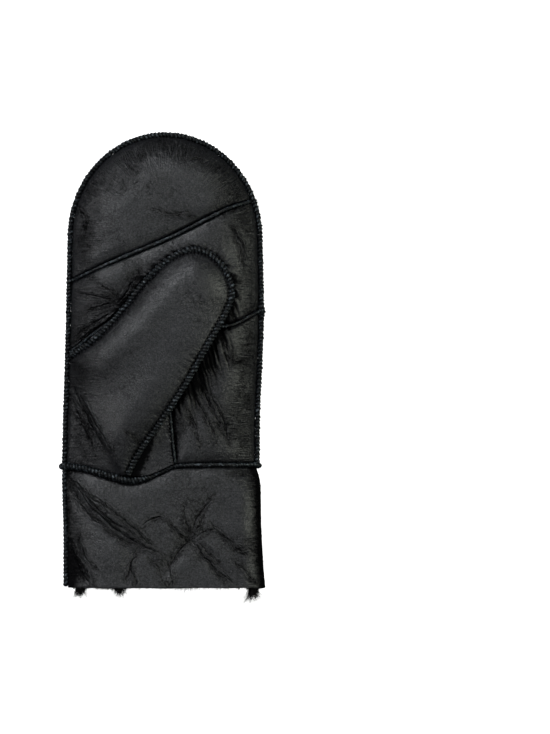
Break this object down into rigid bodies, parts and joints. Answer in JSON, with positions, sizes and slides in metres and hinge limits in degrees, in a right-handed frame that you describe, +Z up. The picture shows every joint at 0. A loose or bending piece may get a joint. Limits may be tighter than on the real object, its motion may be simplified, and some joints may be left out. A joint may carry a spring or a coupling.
{
  "type": "fur-lined leather mitten",
  "caption": "Left-hand leather mitten with a wool lining, lying flat on its back with the palm up and the thumb folded over the palm.",
  "frame": {"origin": "under the middle of the mitten's bounding box, on the surface that it lies on", "axes": "+X across the palm, away from the thumb's side; +Y from the hem to the fingertips; +Z up, out of the palm"},
  "size_m": [0.1264, 0.2872, 0.0472],
  "materials": {
    "black_leather": "smooth nappa, soft sheen",
    "black_wool": "matt sheep's wool",
    "seam_thread": "overcast leather edge with blue-black thread"
  },
  "bodies": {
    "root": {"fingertip_panel": "black_leather", "middle_panel": "black_leather", "lower_palm_panel": "black_leather", "thumb_outer": "black_leather", "thumb_inner": "black_leather", "back_panel": "black_leather", "cuff": "black_leather", "fur_lining": "black_wool", "fingertip_seam": "seam_thread", "middle_seam": "seam_thread", "palm_seam": "seam_thread", "thumb_seam": "seam_thread", "side_seam": "seam_thread", "cuff_side_seam": "seam_thread", "cuff_seam": "seam_thread"}
  },
  "joints": []
}
